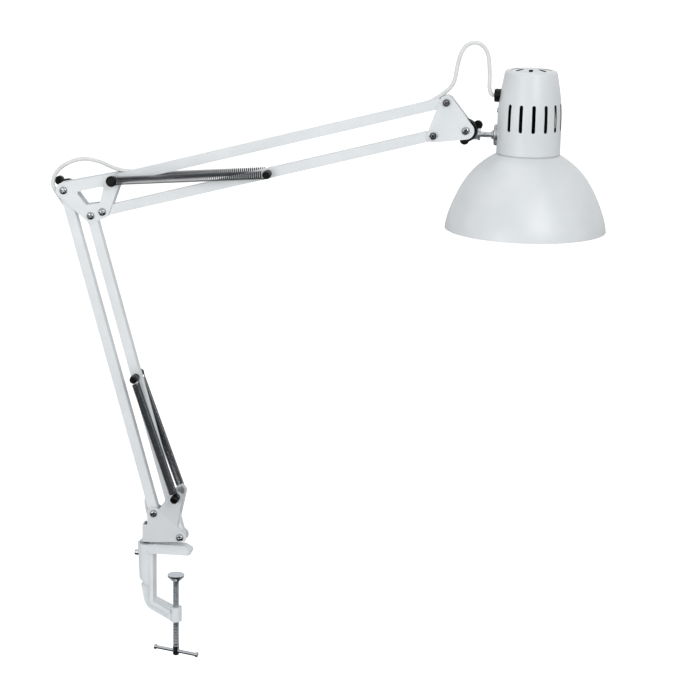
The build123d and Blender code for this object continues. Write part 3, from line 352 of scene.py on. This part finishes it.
def carve(mesh, tool, operation):
    host, cutter = bpy.data.objects.new("host", mesh), bpy.data.objects.new("cutter", tool)
    for obj in (host, cutter):
        scene.collection.objects.link(obj)
    cut = host.modifiers.new("carve", "BOOLEAN")
    cut.object = cutter
    cut.operation = operation
    cut.solver = "EXACT"
    cut.use_self = True
    graph = bpy.context.evaluated_depsgraph_get()
    carved = bpy.data.meshes.new_from_object(host.evaluated_get(graph))
    for obj in (host, cutter):
        bpy.data.objects.remove(obj)
    return carved


def makeScrews(name, points, shank, tip, front, body, node):
    # pan heads with a cross recess; tip is how far the shank reaches past the middle plane
    outwards = Vector((0, -1 if front else 1, 0))
    face, high, wide = fastener["plateFace"], fastener["headHeight"], fastener["headRadius"]
    end = -(tip + face)
    head = [(0, high), (0.5 * wide, high - 0.05), (0.75 * wide, high - 0.35), (0.92 * wide, high - 0.95),
            (wide, high - 1.7), (wide, 0), (shank, 0), (shank, end + 0.5), (shank - 0.4, end), (0, end)]
    blade = (fastener["recess"] * mm, 2 * fastener["recessDepth"] * mm, fastener["recessWidth"] * mm, 1)
    firstTurn, nextTurn = fastener["screwTurns"]
    bm, tool = bmesh.new(), bmesh.new()
    for i, point in enumerate(points):
        seat = point + outwards * face * mm
        lathe(bm, head, seat, outwards, right)
        crown = Matrix.Translation(seat + outwards * high * mm)
        for quarter in (0, 90):
            turn = Matrix.Rotation(math.radians(firstTurn + nextTurn * i + quarter), 4, "Y")
            bmesh.ops.create_cube(tool, size=1, matrix=crown @ turn @ Matrix.Diagonal(blade))
    mesh = carve(meshFrom(bm, name), meshFrom(tool, name + " recess"), "DIFFERENCE")
    obj = addPiece(name, mesh, body, zincPlate)
    keepSharp(obj)
    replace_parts(obj, node)


def makeNuts(name, points, front, body, node):
    # hexagon nuts with chamfered corners: a six-sided bar kept only inside a turned ring
    outwards = Vector((0, -1 if front else 1, 0))
    corner, high, bore = fastener["nutWidth"] / math.sqrt(3), fastener["nutHeight"], fastener["bore"]
    ring = [(bore, 0), (corner - 0.5, 0), (corner + 0.1, 0.4), (corner + 0.1, high - 0.6),
            (corner - 0.75, high), (bore + 0.5, high), (bore, high - 0.4)]
    firstTurn, nextTurn = fastener["nutTurns"]
    lay = Matrix.Rotation(math.radians(90), 4, "X")
    bm, tool = bmesh.new(), bmesh.new()
    for i, point in enumerate(points):
        seat = point + outwards * fastener["plateFace"] * mm
        turn = lay @ Matrix.Rotation(math.radians(firstTurn + nextTurn * i), 4, "Z")
        stand = Matrix.Translation(seat + outwards * high / 2 * mm)
        bmesh.ops.create_cone(bm, cap_ends=True, segments=6, radius1=corner * mm, radius2=corner * mm,
                              depth=high * mm, matrix=stand @ turn)
        lathe(tool, ring, seat, outwards, right, closed=True)
    mesh = carve(meshFrom(bm, name), meshFrom(tool, name + " ring"), "INTERSECT")
    obj = addPiece(name, mesh, body, zincPlate)
    keepSharp(obj)
    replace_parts(obj, node)


pivotShank, tiltShank = 2.0, 2.5
nutTip, knobTip = 11.1, 13.3  # a bolt under a knob reaches further than one under a nut
basePivots = [pivot["baseRear"], pivot["baseFront"]]
elbowPivots = [pivot["elbowFront"], pivot["elbowBottom"]]
headPivots = [pivot["headTop"], pivot["headBottom"]]
makeScrews("base_pan_screws", basePivots, pivotShank, nutTip, True, "base", "base_pivot_screws")
makeScrews("elbow_pan_screws", elbowPivots, pivotShank, nutTip, True, "elbow", "elbow_pivot_screws")
makeScrews("elbow_grip_bolt", [pivot["elbowRear"]], pivotShank, knobTip, True, "elbow", "elbow_knob_bolt")
makeScrews("head_pan_screws", headPivots, pivotShank, nutTip, False, "head_bracket", "head_pivot_screws")
makeScrews("tilt_pan_bolt", [pivot["tilt"]], tiltShank, knobTip, True, "head_bracket", "tilt_bolt")
makeNuts("base_hex_nuts", basePivots, False, "base", "base_pivot_nuts")
makeNuts("elbow_hex_nuts", elbowPivots, False, "elbow", "elbow_pivot_nuts")
makeNuts("head_hex_nuts", headPivots, True, "head_bracket", "head_pivot_nuts")

spindle = {
    "radius": 3.5,
    "core": 2.9,
    "foot": -117,
    "plain": -106.5,  # top of the plain end that carries the bar
    "top": -29,
    "pitch": 1.75,
    "ridge": 0.46,  # half the ridge's foot, as a share of the pitch
    "ridgeSink": 0.15,
    "ridgeCrest": 0.12,
    "threadStart": 1.2,
    "threadMargin": 3,
    "turnSteps": 18,
    "barDepth": -112.5,
    "barHole": 1.95,
    "barAngle": 17,
}


def makeSpindle():
    # turned core with a V thread wound round it and a cross hole for the bar
    bm, tool = bmesh.new(), bmesh.new()
    rad, core, foot, plain, top = (spindle[k] for k in ("radius", "core", "foot", "plain", "top"))
    origin = Vector((0, 0, 0))
    lathe(bm, [(0, foot), (rad - 0.8, foot), (rad, foot + 0.8), (rad, plain), (core, plain + 0.6),
               (core, top), (0, top)], origin, up, right)
    lay = Matrix.Rotation(math.radians(-spindle["barAngle"]), 4, "Z")
    lay = lay @ Matrix.Rotation(math.radians(90), 4, "Y")
    bore = spindle["barHole"] * mm
    bmesh.ops.create_cone(tool, cap_ends=True, segments=24, radius1=bore, radius2=bore, depth=4 * rad * mm,
                          matrix=Matrix.Translation(at(0, spindle["barDepth"])) @ lay)
    drilled = carve(meshFrom(bm, "spindle core"), meshFrom(tool, "bar hole"), "DIFFERENCE")
    bm = bmesh.new()
    half, crest = spindle["pitch"] * spindle["ridge"], spindle["ridgeCrest"]
    base, low = core - spindle["ridgeSink"], plain + spindle["threadStart"]
    section = ((base, -half), (rad, -crest), (rad, crest), (base, half))
    ridge = [bm.verts.new(at(r, low + d)) for r, d in section]
    edges = [bm.edges.new(pair) for pair in zip(ridge, ridge[1:] + ridge[:1])]
    climb = top - plain - spindle["threadMargin"]
    turns = climb / spindle["pitch"]
    steps = round(turns * spindle["turnSteps"])
    bmesh.ops.spin(bm, geom=ridge + edges, cent=origin, axis=up, angle=2 * math.pi * turns, steps=steps,
                   dvec=up * (climb * mm / steps), use_duplicate=False)
    bmesh.ops.holes_fill(bm, edges=[e for e in bm.edges if e.is_boundary], sides=0)
    bmesh.ops.recalc_face_normals(bm, faces=bm.faces)
    bm.from_mesh(drilled)
    mesh = bpy.data.meshes.new("threaded_spindle")
    bm.to_mesh(mesh)
    bm.free()
    obj = addPiece("threaded_spindle", mesh, "spindle", drawnSteel)
    keepSharp(obj)
    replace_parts(obj, "clamp_screw")


makeSpindle()

lockScrew = {
    "seat": -39.8,
    "tip": -36.6,
    "depth": -3.5,
    "headRadius": 3.0,
    "headHeight": 4.6,
    "shank": 2.0,
    "slotWidth": 0.9,
    "slotDepth": 1.2,
    "slotTurn": 35,
}


def makeLockScrew():
    # slotted cheese head in the side of the column
    rad, high, shank = lockScrew["headRadius"], lockScrew["headHeight"], lockScrew["shank"]
    seat, outwards = at(lockScrew["seat"], lockScrew["depth"]), -right
    reach = lockScrew["seat"] - lockScrew["tip"]
    bm, tool = bmesh.new(), bmesh.new()
    lathe(bm, [(0, high), (rad - 0.9, high), (rad - 0.2, high - 0.4), (rad, high - 1.0), (rad, 0), (shank, 0),
               (shank, reach + 0.4), (shank - 0.4, reach), (0, reach)], seat, outwards, Vector((0, 1, 0)))
    blade = (2 * lockScrew["slotDepth"] * mm, lockScrew["slotWidth"] * mm, 4 * rad * mm, 1)
    turn = Matrix.Rotation(math.radians(lockScrew["slotTurn"]), 4, "X")
    crown = Matrix.Translation(seat + outwards * high * mm)
    bmesh.ops.create_cube(tool, size=1, matrix=crown @ turn @ Matrix.Diagonal(blade))
    mesh = carve(meshFrom(bm, "lock screw"), meshFrom(tool, "lock screw slot"), "DIFFERENCE")
    obj = addPiece("slotted_lock_screw", mesh, "clamp", drawnSteel)
    keepSharp(obj)
    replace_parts(obj, "swivel_lock_screw")


makeLockScrew()
print("fasteners done")


# spools that carry the springs' hooks

spool = {
    "groove": 2.8,
    "half": 1.7,  # half the groove's width
    "foot": 4.0,
    "end": 3.4,
    "bore": 2.0,
    "rim": 1.5,
    "place": 13.1,  # from the lamp's middle plane to the groove
    "tubeEnd": 3.9,  # radii of the outer ends
    "elbowEnd": 5.5,
    "earEnd": 4.1,
    "tubeFoot": 8.1,  # from the groove's middle to the spool's foot
    "elbowFoot": 6.2,
    "earFoot": 4.5,
}


def makeSpools(name, places, footLength, endRadius, body, node):
    # places are the middles of the grooves with the way out; the end is dished inside a raised rim
    half, face, foot = spool["half"], spool["half"] + spool["end"], spool["foot"]
    inner, rim = face - 1.2, endRadius - spool["rim"]
    profile = [(0, inner), (spool["bore"], inner), (spool["bore"], -footLength), (foot, -footLength),
               (foot, -half - 0.3), (foot - 0.4, -half), (spool["groove"], -half), (spool["groove"], half),
               (endRadius - 0.4, half), (endRadius, half + 0.4), (endRadius, face - 1.1),
               (endRadius - 0.4, face - 0.7), (endRadius - 0.7, face - 0.2), (endRadius - 1.1, face),
               (rim, face - 0.2), (rim - 0.3, face - 0.7), (0, face - 0.6)]
    bm = bmesh.new()
    for groove, outwards in places:
        lathe(bm, profile, groove, outwards, outwards.orthogonal().normalized())
    obj = addPiece(name, meshFrom(bm, name), body, blackNylon)
    keepSharp(obj, 40)
    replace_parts(obj, node)


def armWay(degrees):
    return Vector((math.cos(math.radians(degrees)), 0, math.sin(math.radians(degrees))))


def bothSides(point):
    return [(point + Vector((0, side * spool["place"] * mm, 0)), Vector((0, side, 0))) for side in (-1, 1)]


lowerUp, upperOut = armWay(105.2), armWay(15.1)
lowerPin = pivot["baseFront"] + lowerUp * 178 * mm
upperPin = pivot["elbowBottom"] + upperOut * 176 * mm
earGrooves = [(at(2.667, 64.028, side * 17.007), Vector((-0.1385, side * 0.9781, -0.1551)).normalized())
              for side in (-1, 1)]
lowerGrooves, upperGrooves, elbowGrooves = (bothSides(p) for p in (lowerPin, upperPin, pivot["elbowTop"]))
makeSpools("lower_dished_spools", lowerGrooves, spool["tubeFoot"], spool["tubeEnd"], "front_arm",
           "lower_spring_spools")
makeSpools("upper_dished_spools", upperGrooves, spool["tubeFoot"], spool["tubeEnd"], "bottom_arm",
           "upper_spring_spools")
makeSpools("elbow_dished_spools", elbowGrooves, spool["elbowFoot"], spool["elbowEnd"], "elbow",
           "elbow_spring_spools")
makeSpools("ear_dished_spools", earGrooves, spool["earFoot"], spool["earEnd"], "base", "ear_spring_spools")
print("spools done")


# threaded shell of the lampholder

shell = {"crest": 13.9, "root": 13.35, "wall": 0.35, "pitch": 3.62, "low": 447.9, "high": 471.9,
         "pitchSteps": 6, "steps": 48}


def makeSocketShell():
    # a rolled round thread: one wavy line is turned once while it climbs by one pitch
    bm = bmesh.new()
    rise = shell["pitch"] / shell["pitchSteps"]
    count = round((shell["high"] - shell["low"]) / rise) + 2 * shell["pitchSteps"]
    foot = shell["low"] - shell["pitch"]
    verts = []
    for i in range(count + 1):
        wave = 0.5 + 0.5 * math.cos(2 * math.pi * i / shell["pitchSteps"])
        rad = shell["root"] + (shell["crest"] - shell["root"]) * wave
        verts.append(bm.verts.new(at(shadeX + rad, foot + i * rise)))
    edges = [bm.edges.new(pair) for pair in zip(verts, verts[1:])]
    bmesh.ops.spin(bm, geom=verts + edges, cent=at(shadeX, 0), axis=up, angle=2 * math.pi,
                   steps=shell["steps"], dvec=up * shell["pitch"] / shell["steps"] * mm, use_duplicate=False)
    bmesh.ops.remove_doubles(bm, verts=bm.verts, dist=0.00002)
    for level, side in ((shell["low"], -1), (shell["high"], 1)):
        bmesh.ops.bisect_plane(bm, geom=bm.verts[:] + bm.edges[:] + bm.faces[:], plane_co=at(shadeX, level),
                               plane_no=up * side, clear_outer=True)
    bmesh.ops.recalc_face_normals(bm, faces=bm.faces)
    bmesh.ops.solidify(bm, geom=bm.faces[:], thickness=shell["wall"] * mm)
    mesh = meshFrom(bm, "threaded_socket_shell")
    obj = addPiece("threaded_socket_shell", mesh, "head", brass)
    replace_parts(obj, "socket_shell")


makeSocketShell()
print("socket shell done")


# leads

leadSize = {"diameter": 4.0, "sides": 4, "steps": 10}


def leadRoute(name, points):
    # the tube round the spline, and the points on the spline itself
    data = bpy.data.curves.new(name, "CURVE")
    data.dimensions = "3D"
    data.resolution_u = leadSize["steps"]
    spline = data.splines.new("NURBS")
    spline.points.add(len(points) - 1)
    for slotPoint, p in zip(spline.points, points):
        slotPoint.co = (*p, 1.0)
    spline.order_u = 3
    spline.use_endpoint_u = True
    obj = bpy.data.objects.new(name + " route", data)
    scene.collection.objects.link(obj)
    line = bpy.data.meshes.new_from_object(obj)
    path = [v.co.copy() for v in line.vertices]
    data.bevel_depth = leadSize["diameter"] / 2 * mm
    data.bevel_resolution = leadSize["sides"]
    data.use_fill_caps = True
    tube = bpy.data.meshes.new_from_object(obj)
    tube.name = name
    bpy.data.objects.remove(obj)
    return tube, path


def makeLead(name, points, bodies, start, end):
    tube, path = leadRoute(name, points)
    obj = addPiece(name, tube, None, whitePvc)
    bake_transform(obj, *bodies, start=start, end=end)
    return obj


def makeHiddenLead(name, points, body, node):
    # a run that lies inside a tube or the cap and never leaves its body
    tube = leadRoute(name, points)[0]
    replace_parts(addPiece(name, tube, body, whitePvc), node)


def onLower(place):
    return pivot["baseRear"] + lowerUp * place * mm


def onUpper(place):
    return pivot["elbowTop"] + upperOut * place * mm


def legMiddle(route, i):
    # the spline passes through the middle of each leg, so a lead can be parted there unseen
    return (route[i] + route[i + 1]) / 2


elbowRoute = [onLower(310), onLower(324), at(-121, 375), at(-129.5, 388), at(-122, 404.5), at(-100.5, 415.6),
              at(-80, 414), at(-61, 405.3), at(-45, 404.1), onUpper(32), onUpper(42)]
# the loop leans to the front going up and to the back coming down, so its strands pass when the shade folds
headRoute = [onUpper(305), onUpper(319), at(256, 485.6), at(268, 493.2, -1.5), at(279.5, 504, -5),
             at(281.7, 524, -5), at(287, 541, -2), at(299.5, 546, 1), at(311, 537, 4), at(313.2, 514, 4),
             at(313.2, 493.88, 1), at(318.63, 493.88)]
baseRoute = [onLower(42), onLower(28), at(-32.4, 53.5), at(-30.4, 43), at(-27.5, 33), at(-27.5, 33, 9.9)]
holderTop, holderLoop = 494.381, 12
holderRoute = [headRoute[11], at(333.63, 493.88), at(339.63, holderTop + holderLoop),
               at(shadeX, holderTop + holderLoop), at(shadeX, holderTop)]

elbowPart = legMiddle(elbowRoute, 4)
headFirst, headSecond = legMiddle(headRoute, 4), legMiddle(headRoute, 7)
elbowLower = makeLead("elbow_lead_lower", elbowRoute[:5] + [elbowPart], ("rear_arm", "elbow"),
                      at(-112, 366), at(-113, 407))
makeLead("elbow_lead_upper", [elbowPart] + elbowRoute[5:], ("elbow", "top_arm"),
         at(-98, 412), at(-48, 403))
headArm = makeLead("head_lead_arm", headRoute[:5] + [headFirst], ("top_arm", "head_bracket"),
                   at(258, 486), at(279, 510))
makeLead("head_lead_loop", [headFirst] + headRoute[5:8] + [headSecond], ("head_bracket", "stem"),
         headFirst, headSecond)
makeLead("head_lead_shade", [headSecond] + headRoute[8:], ("stem", "head"),
         headSecond, at(314, 496))
baseRun = makeLead("base_lead_run", baseRoute, ("base", "rear_arm"), at(-29, 38), at(-31, 56))
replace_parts(elbowLower, "elbow_lead")
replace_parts(headArm, "head_lead")
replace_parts(baseRun, "base_lead")
makeHiddenLead("lower_tube_run", [onLower(42), onLower(176), onLower(310)], "rear_arm", "lower_tube_lead")
makeHiddenLead("upper_tube_run", [onUpper(42), onUpper(174), onUpper(305)], "top_arm", "upper_tube_lead")
makeHiddenLead("holder_run", holderRoute, "head", "holder_lead")
print("leads done")


# springs

coil = {
    "outer": 9.0,
    "wire": 1.15,
    "steps": 14,
    "sides": 6,
    "neck": 1.3,  # from the hook to the first turn
    "hookTurn": 255,
    "hookSteps": 12,
    "lowerTurns": 84,
    "upperTurns": 71,
    "lowerEase": 0.92,  # shares the bow that is left over the whole travel of the arm
    "upperEase": 0.5,
}


def wireRing(bm, centre, along, across):
    ring = bmesh.ops.create_circle(bm, segments=coil["sides"], radius=coil["wire"] / 2 * mm)["verts"]
    turn = Matrix((across, along.cross(across), along)).transposed().to_4x4()
    bmesh.ops.transform(bm, matrix=Matrix.Translation(centre) @ turn, verts=ring)
    edges = [e for e in bm.edges if all(v in ring for v in e.verts)]
    return ring, edges


def makeCoil(name, bottom, top, turns):
    # bottom and top are the middles of the two hooks; the coil stands between them
    bm = bmesh.new()
    axis = (top - bottom).normalized()
    side = Vector((0, 1, 0)).cross(axis).normalized()
    depth = axis.cross(side)
    radius = (coil["outer"] - coil["wire"]) / 2 * mm
    room = radius + coil["neck"] * mm
    # the wound body is spun as a screw
    ring, firstEdges = wireRing(bm, bottom + axis * room + side * radius, depth, side)
    steps = turns * coil["steps"]
    found = bmesh.ops.spin(bm, geom=ring + firstEdges, cent=bottom, axis=axis, angle=2 * math.pi * turns,
                           steps=steps, dvec=axis * (((top - bottom).length - 2 * room) / steps),
                           use_duplicate=False)
    lastEdges = [g for g in found["geom_last"] if isinstance(g, bmesh.types.BMEdge)]
    # a hook at each end is spun about its spool and bridged to the wire
    for centre, outwards, joined in ((bottom, -axis, firstEdges), (top, axis, lastEdges)):
        hookRing, hookEdges = wireRing(bm, centre + side * radius, outwards, side)
        bmesh.ops.spin(bm, geom=hookRing + hookEdges, cent=centre, axis=side.cross(outwards),
                       angle=math.radians(coil["hookTurn"]), steps=coil["hookSteps"], dvec=(0, 0, 0),
                       use_duplicate=False)
        bmesh.ops.bridge_loops(bm, edges=hookEdges + joined)
    bmesh.ops.holes_fill(bm, edges=[e for e in bm.edges if e.is_boundary], sides=0)
    return meshFrom(bm, name)


def makeSpring(name, bottom, top, turns, ease, bodies, hinge, node):
    # top is on the spool that moves with the arm
    obj = addPiece(name, makeCoil(name, bottom, top, turns), None, springWire)
    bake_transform(obj, *bodies, start=bottom, end=top)
    # each vertex follows the straight line between the two spools instead of the smooth turn
    flat = Vector((1, 0, 1))
    arm = (top - hinge) * flat
    line = (top - bottom) * flat
    weights = obj.data.attributes["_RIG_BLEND"].data
    for i, v in enumerate(obj.data.vertices):
        share = ((v.co - bottom) * flat).dot(line) / line.length_squared
        share = min(1.0, max(0.0, share))
        spot = (bottom + (top - bottom) * share - hinge) * flat
        follow = share * spot.dot(arm) / spot.length_squared
        weights[i].value = min(1.0, max(0.0, follow)) ** ease
    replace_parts(obj, node)


for i, place in enumerate(("front", "back")):
    makeSpring("lower_coil_" + place, earGrooves[i][0], lowerGrooves[i][0], coil["lowerTurns"],
               coil["lowerEase"], ("base", "front_arm"), pivot["baseFront"], "lower_spring_" + place)
    makeSpring("upper_coil_" + place, elbowGrooves[i][0], upperGrooves[i][0], coil["upperTurns"],
               coil["upperEase"], ("elbow", "bottom_arm"), pivot["elbowBottom"], "upper_spring_" + place)
print("springs wound")


# light, floor and background

studio = {"world": 0.47, "floor": -0.75, "floorSize": 20, "floorGlow": 0.8}
darkCards = {
    "front card": {"place": (0.2, -2.5, -0.34), "tilt": 85, "size": (3.9, 1.12)},
    "low card": {"place": (0.1, -0.9, -0.7), "tilt": 0, "size": (3.4, 2.6)},
}
studioLamps = {
    "key": {"place": (1.3, -1.9, 1.4), "aim": (0.12, 0, 0.3), "size": 1.3, "power": 18.0},
    "fill": {"place": (-1.0, -2.3, 0.5), "aim": (0.1, 0, 0.3), "size": 1.4, "power": 15.0},
    "top": {"place": (0.1, 0.3, 2.2), "aim": (0.1, 0, 0.3), "size": 1.6, "power": 6.0},
}


def makeWorld():
    # white to the eye and in reflections, softer as light
    world = bpy.data.worlds.new("studio")
    scene.world = world
    world.use_nodes = True
    tree = world.node_tree
    tree.nodes.clear()
    path = addNode(tree, "ShaderNodeLightPath")
    seen = addNode(tree, "ShaderNodeMath", {0: (path, "Is Camera Ray"), 1: (path, "Is Glossy Ray")},
                   operation="MAXIMUM")
    seen = addNode(tree, "ShaderNodeMath", {0: (seen, 0), 1: (path, "Is Transmission Ray")},
                   operation="MAXIMUM")
    soft = addNode(tree, "ShaderNodeBackground", {"Color": (1, 1, 1, 1), "Strength": studio["world"]})
    white = addNode(tree, "ShaderNodeBackground", {"Color": (1, 1, 1, 1), "Strength": 1.0})
    mix = addNode(tree, "ShaderNodeMixShader",
                  {"Fac": (seen, 0), 1: (soft, "Background"), 2: (white, "Background")})
    addNode(tree, "ShaderNodeOutputWorld", {"Surface": (mix, "Shader")})


def addStagePiece(name, bm, mat):
    mesh = bpy.data.meshes.new(name)
    bm.to_mesh(mesh)
    bm.free()
    mesh.materials.append(mat)
    piece = bpy.data.objects.new(name, mesh)
    scene.collection.objects.link(piece)
    return piece


def makeFloor():
    # matt white paper that keeps the lamp's shadow and glows only to the eye
    mat = bpy.data.materials.new("white paper")
    mat.use_nodes = True
    tree = mat.node_tree
    tree.nodes.clear()
    path = addNode(tree, "ShaderNodeLightPath")
    paper = addNode(tree, "ShaderNodeBsdfDiffuse", {"Color": hexToLinear("#f2f2f2")})
    glow = addNode(tree, "ShaderNodeEmission", {"Color": (1, 1, 1, 1), "Strength": studio["floorGlow"]})
    both = addNode(tree, "ShaderNodeAddShader", {0: (paper, "BSDF"), 1: (glow, "Emission")})
    mix = addNode(tree, "ShaderNodeMixShader",
                  {"Fac": (path, "Is Camera Ray"), 1: (paper, "BSDF"), 2: (both, "Shader")})
    addNode(tree, "ShaderNodeOutputMaterial", {"Surface": (mix, "Shader")})
    bm = bmesh.new()
    bmesh.ops.create_grid(bm, x_segments=2, y_segments=2, size=studio["floorSize"])
    bmesh.ops.translate(bm, verts=bm.verts, vec=(0, 0, studio["floor"]))
    addStagePiece("floor", bm, mat)


def makeDarkCard(name, place, tilt, size):
    # a black card out of view, seen only in reflections, gives the bright metal its dark streaks
    mat = bpy.data.materials.new("black card")
    mat.use_nodes = True
    tree = mat.node_tree
    tree.nodes.clear()
    board = addNode(tree, "ShaderNodeBsdfDiffuse", {"Color": hexToLinear("#0c0c0c")})
    addNode(tree, "ShaderNodeOutputMaterial", {"Surface": (board, "BSDF")})
    bm = bmesh.new()
    stand = Matrix.Translation(place) @ Matrix.Rotation(math.radians(tilt), 4, "X")
    bmesh.ops.create_grid(bm, x_segments=1, y_segments=1, size=0.5,
                          matrix=stand @ Matrix.Diagonal((*size, 1, 1)))
    card = addStagePiece(name, bm, mat)
    card.visible_camera = False
    card.visible_diffuse = False
    card.visible_shadow = False


def addLamp(name, place, aim, size, power):
    data = bpy.data.lights.new(name, "AREA")
    data.shape = "DISK"
    data.size = size
    data.energy = power
    lamp = bpy.data.objects.new(name, data)
    scene.collection.objects.link(lamp)
    lamp.location = place
    lamp.rotation_euler = (Vector(aim) - Vector(place)).to_track_quat("-Z", "Y").to_euler()


makeWorld()
makeFloor()
for name, card in darkCards.items():
    makeDarkCard(name, **card)
for name, lamp in studioLamps.items():
    addLamp(name, **lamp)
print("studio ready")
